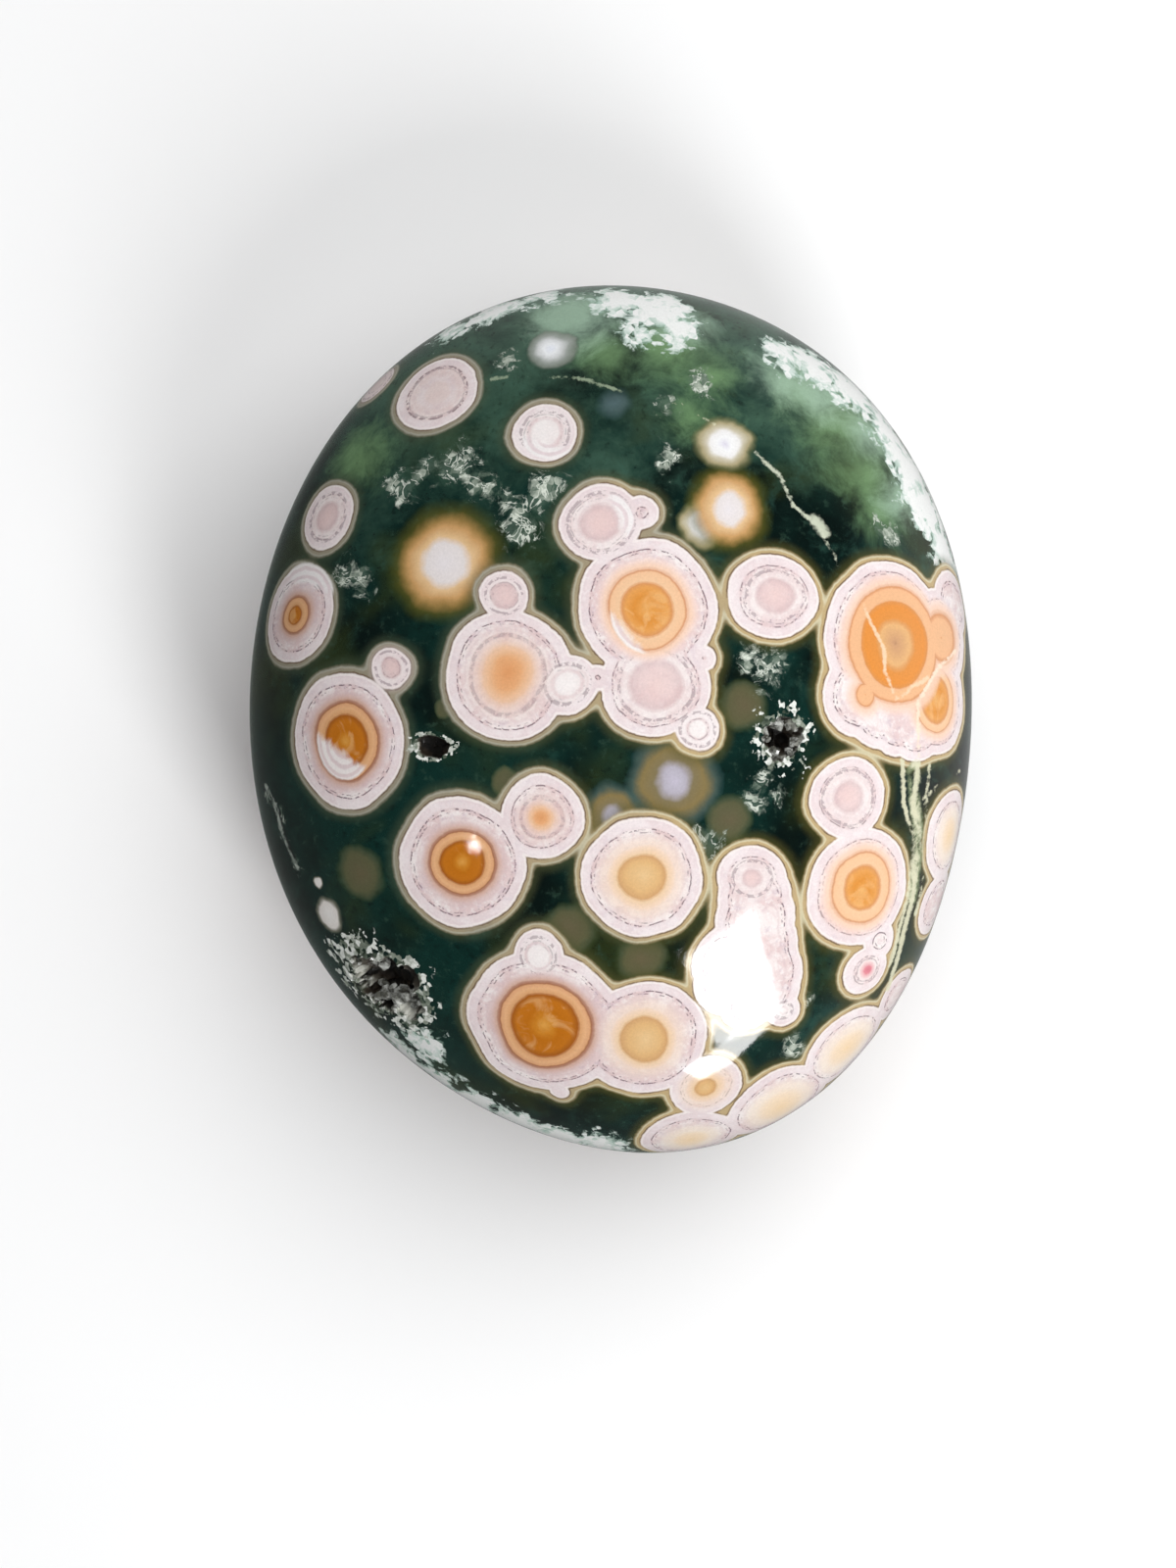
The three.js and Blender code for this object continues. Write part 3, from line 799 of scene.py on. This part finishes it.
def hollows_over(nodes, colour, warped, ragged, fine):
    """The crust around the hollows, grey flakes whose brightest are painted glints, and their walls, with
    painted shade that darkens them towards the bottom. Returns the colour and where the walls are.
    """
    hollow, crust = nodes.attribute("hollow"), nodes.attribute("crust")
    shard = nodes.cells(warped, 2.4, "MANHATTAN")
    # Grey crystal flakes of the crust; the white at the top of this ramp stands for painted glints.
    crust_and_painted_glints = nodes.ramp(shard * 0.75 + fine * 0.5, (
        (0.34, 34, 44, 38), (0.52, 88, 98, 84), (0.74, 154, 162, 148), (0.92, 244, 246, 240)))
    scatter = nodes.step(crust + (shard - 0.5) * 1.1 + (ragged - 0.5) * 1.2, 0.4, 0.56)
    colour = nodes.mix(colour, crust_and_painted_glints, scatter * nodes.step(crust, 0.02, 0.14) * 0.92)
    # The walls' colour, darkest where the tone was darkened deep in the hollow: painted shade.
    rock_with_depth_shade = nodes.ramp(nodes.attribute("tone") + (fine - 0.5) * 0.3, (
        (0.08, 17, 15, 13), (0.24, 54, 46, 38), (0.42, 96, 92, 82), (0.62, 210, 210, 200)))
    return nodes.mix(colour, rock_with_depth_shade, hollow), hollow


def jasper_material(orbs):
    """The whole stone's pattern: matrix, quartz, halos, orb bodies, their centres and the healed cracks."""
    colours = bpy.context.scene.jasper_colours

    def build(nodes):
        place, warped = warped_place(nodes)
        fine = nodes.clouds(place, 2.4, 3.0, 0.6)
        colour = matrix_colour(nodes, place, warped, colours)
        ragged = nodes.clouds(place, 0.5, 5.0, 0.7, 0.6)
        chip = nodes.cells(warped, 1.8)
        colour, quartz = quartz_over(nodes, colour, warped, ragged, chip)
        colour, fleck = flecks_over(nodes, colour, place, warped, ragged, chip, fine)

        grown = nodes.pushed(warped, warped, 2.2, 3.0, 0.14)
        halo, body, centres = orb_fields(nodes, grown, orbs)
        depth = body - HALO_WIDTH
        colour = halos_over(nodes, colour, place, ragged, halo, depth, colours)
        specks = nodes.clouds(place, 2.4, 2.0, 0.6)
        colour = bodies_over(nodes, colour, place, warped, fine, specks, depth, colours)
        colour = centres_over(nodes, colour, place, warped, specks, centres)
        colour = caps_over(nodes, colour, grown, ragged)
        colour = cracks_over(nodes, colour, warped, ragged, fine)
        colour, hollow = hollows_over(nodes, colour, warped, ragged, fine)

        grit = nodes.ramp(nodes.clouds(place, 5.5, 2.0, 0.7), ((0.25, 231, 231, 231), (0.75, 245, 245, 245)))
        bump = nodes.add("Bump", None, inputs={"Height": ragged, "Distance": 0.02 * MM, "Strength": 0.5})
        return {
            "Base Color": nodes.mix(colour, grit, 1.0, "MULTIPLY"),
            "Roughness": 0.05 + quartz * 0.05 + fleck * 0.12 + hollow * 0.4,
            "IOR": QUARTZ_IOR, "Normal": bump,
        }
    return principled("polished_ocean_jasper", build)


# ---- meshes ----


def deselect():
    for piece in bpy.context.selected_objects:
        piece.select_set(False)


def hollow_place(hollow, sizes):
    """A hollow's own axes, mouth up, at its place on the face, in mm."""
    mouth = form_point(face_direction(hollow["x"], hollow["y"], sizes), sizes)
    stand = Vector((0, 0, 1)).rotation_difference(form_normal(mouth, sizes))
    spin = Quaternion((0, 0, 1), math.radians(hollow["turn"]))
    return Matrix.Translation(mouth) @ (stand @ spin).to_matrix().to_4x4()


def select_near(mesh, direction, cosine):
    """Selects only the faces of the unit sphere whose middles lie within an angle of a direction."""
    for parts in (mesh.vertices, mesh.edges):
        parts.foreach_set("select", [False] * len(parts))
    for face in mesh.polygons:
        face.select = face.center.normalized().dot(direction) > cosine


# Angles around a hollow, in radians per mm of its mouth, within which the mesh is divided once more each.
FINER_WITHIN = (0.19 / 7, 0.16 / 7, 0.14 / 7)


def refine(piece, sizes):
    """Divides the unit sphere more finely where the hollows will be."""
    for hollow in HOLLOWS:
        direction = face_direction(hollow["x"], hollow["y"], sizes).normalized()
        for reach in FINER_WITHIN:
            select_near(piece.data, direction, math.cos(reach * max(hollow["width"], hollow["height"])))
            bpy.ops.object.mode_set(mode="EDIT")
            bpy.ops.mesh.subdivide(number_cuts=1)
            bpy.ops.object.mode_set(mode="OBJECT")


# Flat facets of the hollows' walls, per mm, and how much their tilts differ.
FACETS = 1.15
TILT_SCALE = 8.7


def facet_tilt(corner):
    """How the wall's facet tilts across and along and how far it stands out, each from -1 to 1."""
    return Vector([noise.noise(corner * TILT_SCALE + Vector((0, 0, 7.1 * i))) for i in range(3)])


def bowl_depth(hollow, x, y):
    """How deep a hollow is over a place of its own axes, in mm, how near its edge the place is, from 0 to 1
    and on, and the tone of the facet there from 0 to 1."""
    place = Vector((x, y, hollow["seed"]))
    wander = noise.noise(place * 0.9) + 0.6 * noise.noise(place * 2.6)
    corner = noise.voronoi(place * FACETS)[1][0]
    tilt = facet_tilt(corner)
    off = place * FACETS - corner
    facet = 1.1 * (tilt.x * off.x + tilt.y * off.y) + 0.5 * tilt.z
    deepest, nearest, rough = 0.0, 9.0, 0.0
    for across, along, half_width, half_height, depth, roughness in hollow["bowls"]:
        reach = math.hypot((x - across) / half_width, (y - along) / half_height)
        reach *= 1 + (0.08 + 0.2 * roughness) * wander + 0.16 * roughness * facet
        nearest = min(nearest, reach)
        if reach < 1:
            deep = depth * (1 - reach**3) ** 0.6 + 0.8 * roughness * facet * min(1, 3 * (1 - reach))
            if deep > deepest:
                deepest, rough = deep, roughness
    return deepest, nearest, 0.5 + rough * tilt.z


# How far from its middle, across and along its axis, a hollow can change the surface, in mm.
HOLLOW_REACH = 6.5
HOLLOW_RISE = 4


def sink_hollows(points, sizes):
    """Pushes the surface in to make the hollows. Returns the points, and for each whether it lies in a
    hollow, how near it is to the mouth of one and the tone of its facet, darkened towards the bottom of the
    hollow as painted shade, all from 0 to 1."""
    inside, rim, tone = np.zeros((3, len(points)))
    for hollow in HOLLOWS:
        place = np.array(hollow_place(hollow, sizes))
        local = (points - place[:3, 3]) @ place[:3, :3]
        beside = np.hypot(local[:, 0], local[:, 1]) < HOLLOW_REACH
        for i in np.flatnonzero(beside & (np.abs(local[:, 2]) < HOLLOW_RISE)):
            deep, reach, facet_tone = bowl_depth(hollow, local[i, 0], local[i, 1])
            points[i] -= place[:3, 2] * deep
            inside[i] = min(1, 5 * deep)
            rim[i] = max(0, min(1, (hollow["spread"] - reach) / (hollow["spread"] - 1)))
            # The facet's tone is darkened the deeper it lies: painted shade in the hollow.
            tone[i] = facet_tone * max(0.1, 1 - deep / hollow["depth"])
    return points, inside, rim, tone


def stone_mesh(sizes):
    """The polished form with its hollows, cut off at the flat spot."""
    deselect()
    bpy.ops.mesh.primitive_ico_sphere_add(subdivisions=7, radius=1)
    piece = bpy.context.object
    piece.name = STONE
    bpy.ops.object.mode_set(mode="EDIT")
    bpy.ops.mesh.select_mode(type="FACE")
    bpy.ops.mesh.select_all(action="DESELECT")
    bpy.ops.object.mode_set(mode="OBJECT")
    refine(piece, sizes)
    points = np.empty(len(piece.data.vertices) * 3)
    piece.data.vertices.foreach_get("co", points)
    directions = points.reshape(-1, 3)
    directions /= np.linalg.norm(directions, axis=1)[:, None]
    points, inside, rim, tone = sink_hollows(form_point(directions, sizes), sizes)
    piece.data.vertices.foreach_set("co", (points * MM).ravel())
    for name, values in (("hollow", inside), ("crust", rim), ("tone", tone)):
        piece.data.attributes.new(name, "FLOAT", "POINT").data.foreach_set("value", values)
    bpy.ops.object.mode_set(mode="EDIT")
    bpy.ops.mesh.select_all(action="SELECT")
    bpy.ops.mesh.bisect(
        plane_co=(0, 0, 0), plane_no=(0, 0, 1), use_fill=True, clear_inner=True, threshold=1e-7)
    bpy.ops.mesh.select_all(action="SELECT")
    bpy.ops.mesh.quads_convert_to_tris()
    bpy.ops.object.mode_set(mode="OBJECT")
    bpy.ops.object.shade_smooth_by_angle(angle=math.radians(35))
    return piece


class JASPER_OT_stone(bpy.types.Operator):
    """Make the polished stone with its hollows"""

    bl_idname = "jasper.stone"
    bl_label = "Polished stone"

    def execute(self, context):
        form = context.scene.jasper_form
        sizes = form_sizes()
        piece = stone_mesh(sizes)
        orbs = grown_orbs(placed(ORBS, UNDER_ORBS), sizes, form.back_orbs, form.pattern_seed)
        piece.data.materials.append(jasper_material(orbs))
        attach(piece, "root")
        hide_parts("stone")
        return {"FINISHED"}


def crystal_material():
    """Quartz that is clear in places and veiled with white in others."""
    def build(nodes):
        place = nodes.scaled(nodes.add("TexCoord", out=3), 1 / MM)
        veil = nodes.step(nodes.clouds(place, 1.1, 3.0, 0.6), 0.38, 0.66)
        colour = nodes.mix(hue(96, 96, 88), hue(244, 246, 240), veil)
        return {"Base Color": colour, "Roughness": 0.08, "IOR": QUARTZ_IOR, "Transmission Weight": 0.4}
    return principled("vug_quartz", build)


# A crystal's shaft and pointed end, in radii.
SHAFT = 2
TIP = 1.1


def crystal_template():
    """One quartz crystal of radius 1 standing on the origin: a six-sided prism with a pointed end."""
    deselect()
    bpy.ops.mesh.primitive_cylinder_add(vertices=6, radius=1, depth=SHAFT, location=(0, 0, SHAFT / 2))
    crystal = bpy.context.object
    bpy.ops.object.transform_apply(location=True, rotation=False, scale=False)
    for face in crystal.data.polygons:
        face.select = face.normal.z > 0.9
    bpy.ops.object.mode_set(mode="EDIT")
    bpy.ops.mesh.extrude_region_move(TRANSFORM_OT_translate={"value": (0, 0, TIP)})
    bpy.ops.mesh.merge(type="CENTER")
    bpy.ops.object.mode_set(mode="OBJECT")
    return crystal


# How deep each crystal's root is sunk in the wall, and how deep the hollow is where one can root, in mm.
ROOT_BITE = 0.05
ROOT_LEAST_DEPTH = 0.25
# Crystals lean towards a point this high over the mouth, and each strays from that by up to the other value.
AIM_HEIGHT = 0.4
STRAY = 0.6


def crystal_crust(name, hollow, count, sizes, largest, sides):
    """Many copies of one crystal rooted in a hollow's wall and joined into one crust. The largest radius is
    in mm, and the sides are the turns between which crystals root."""
    template = crystal_template()
    chance = random.Random(hollow["seed"])
    place = hollow_place(hollow, sizes)
    copies = []
    while len(copies) < count:
        turn, out = chance.uniform(*sides), chance.uniform(0.5, 0.98)
        x = hollow["width"] / 2 * out * math.cos(turn)
        y = hollow["height"] / 2 * out * math.sin(turn)
        deep, *_ = bowl_depth(hollow, x, y)
        if deep < ROOT_LEAST_DEPTH:
            continue
        root = Vector((x, y, -deep - ROOT_BITE))
        stray = Vector([chance.uniform(-STRAY, STRAY) for _ in range(3)])
        aim = (Vector((0, 0, AIM_HEIGHT)) - root).normalized() + stray
        radius = largest * chance.uniform(0.4, 1) * (1.15 - 0.6 * out)
        length = min(radius * chance.uniform(0.6, 1.2), 0.4 * deep)
        stand = Vector((0, 0, 1)).rotation_difference(aim).to_matrix().to_4x4()
        spin = Matrix.Rotation(chance.uniform(0, math.tau), 4, "Z")
        size = Matrix.Diagonal((radius, radius * chance.uniform(0.5, 1), length, 1))
        copy = template.copy()
        copy.data = template.data.copy()
        copy.data.transform(Matrix.Scale(MM, 4) @ place @ Matrix.Translation(root) @ stand @ spin @ size)
        bpy.context.collection.objects.link(copy)
        copies.append(copy)
    bpy.data.objects.remove(template)
    deselect()
    for copy in copies:
        copy.select_set(True)
    bpy.context.view_layer.objects.active = copies[0]
    bpy.ops.object.join()
    crust = bpy.context.object
    crust.name = name
    return crust


class JASPER_OT_vug_crystals(bpy.types.Operator):
    """Line the two hollows with quartz crystals"""

    bl_idname = "jasper.vug_crystals"
    bl_label = "Vug crystals"

    def execute(self, context):
        sizes = form_sizes()
        material = crystal_material()
        crusts = (
            (LARGE_CRYSTALS, "large_vug_crystals", LARGE_VUG, 44, 0.75, (2.4, 6.3)),
            (SMALL_CRYSTALS, "small_vug_crystals", SMALL_VUG, 26, 0.5, (0, math.tau)),
        )
        for name, node, hollow, count, largest, sides in crusts:
            crust = crystal_crust(name, hollow, count, sizes, largest, sides)
            crust.data.materials.append(material)
            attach(crust, "root")
            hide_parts(node)
        return {"FINISHED"}


def area_light(name, place, size, power, glossy=True, diffuse=True):
    """A softbox in metres and watts that faces the stone."""
    light = bpy.data.lights.new(name, "AREA")
    light.shape = "RECTANGLE"
    light.size, light.size_y = size
    light.energy = power
    lamp = bpy.data.objects.new(name, light)
    lamp.location = place
    lamp.rotation_euler = (LIGHTS_AIM - lamp.location).to_track_quat("-Z", "Y").to_euler()
    lamp.visible_glossy = glossy
    lamp.visible_diffuse = diffuse
    bpy.context.collection.objects.link(lamp)
    return lamp


class JASPER_OT_stage(bpy.types.Operator):
    """Make the pale floor, the studio lights, the world and the camera"""

    bl_idname = "jasper.stage"
    bl_label = "Stage"

    def execute(self, context):
        scene = context.scene
        stage = scene.jasper_stage
        deselect()
        bpy.ops.mesh.primitive_plane_add(size=4)
        floor = context.object
        floor.name = "floor"
        pale = {"Base Color": (0.86, 0.86, 0.86, 1), "Roughness": 0.6}
        floor.data.materials.append(principled("pale_floor", lambda nodes: pale))
        floor.visible_glossy = False

        window = area_light("window", (0.206, -0.357, 0.367), (0.155, 0.24), stage.window_power)
        window.rotation_euler.rotate_axis("Z", math.radians(WINDOW_ROLL))
        sill_power = SILL_SHARE * stage.window_power
        sill = area_light("sill", (0.195, -0.43, 0.235), (0.23, 0.07), sill_power, diffuse=False)
        sill.rotation_euler.rotate_axis("Z", math.radians(SILL_ROLL))
        area_light("fill", (0.2, 0.3, 0.7), (0.9, 0.9), stage.fill_power, glossy=False)
        area_light("spark", (-0.38, -0.25, 0.66), (0.012, 0.024), 0.05)

        world = bpy.data.worlds.new("studio")
        scene.world = world
        world.use_nodes = True
        nodes = Nodes(world.node_tree)
        across = nodes.add("SeparateXYZ", None, nodes.add("TexCoord"))
        side = nodes.step(across + across.other("Y") * 0.6, -0.5, 0.9)
        low = nodes.mix(hue(128, 134, 130), hue(245, 245, 245), side)
        colour = nodes.mix(low, hue(70, 72, 76), nodes.step(across.other("Z"), -0.15, 0.55))
        background = nodes.add("Background", None, colour, 0.6)
        nodes.add("OutputWorld", None, background)

        camera = bpy.data.cameras.new("camera")
        camera.sensor_width = 36
        camera.lens = camera.sensor_width * stage.eye_height / stage.frame_height
        camera.clip_start = 0.01
        eye = bpy.data.objects.new("camera", camera)
        eye.location = [part * MM for part in eye_point()]
        context.collection.objects.link(eye)
        scene.camera = eye
        scene.view_settings.view_transform = "Standard"
        return {"FINISHED"}


class JASPER_PT_panel(bpy.types.Panel):
    """Lists the stone's settings and its pieces"""

    bl_idname = "JASPER_PT_panel"
    bl_label = "Ocean Jasper"
    bl_space_type = "VIEW_3D"
    bl_region_type = "UI"
    bl_category = "Jasper"

    def draw(self, context):
        for group in (context.scene.jasper_form, context.scene.jasper_colours, context.scene.jasper_stage):
            box = self.layout.box()
            for name in group.__annotations__:
                box.prop(group, name)
        for operator in (JASPER_OT_stone, JASPER_OT_vug_crystals, JASPER_OT_stage):
            self.layout.operator(operator.bl_idname)


CLASSES = (
    JasperForm, JasperColours, JasperStage,
    JASPER_OT_stone, JASPER_OT_vug_crystals, JASPER_OT_stage, JASPER_PT_panel,
)
GROUPS = {"jasper_form": JasperForm, "jasper_colours": JasperColours, "jasper_stage": JasperStage}


def register():
    for cls in CLASSES:
        bpy.utils.register_class(cls)
    for name, group in GROUPS.items():
        setattr(bpy.types.Scene, name, PointerProperty(type=group))


def unregister():
    for name in GROUPS:
        delattr(bpy.types.Scene, name)
    for cls in reversed(CLASSES):
        bpy.utils.unregister_class(cls)


def main():
    register()
    bpy.ops.jasper.stage()
    bpy.ops.jasper.stone()
    bpy.ops.jasper.vug_crystals()


if __name__ == "__main__":
    main()
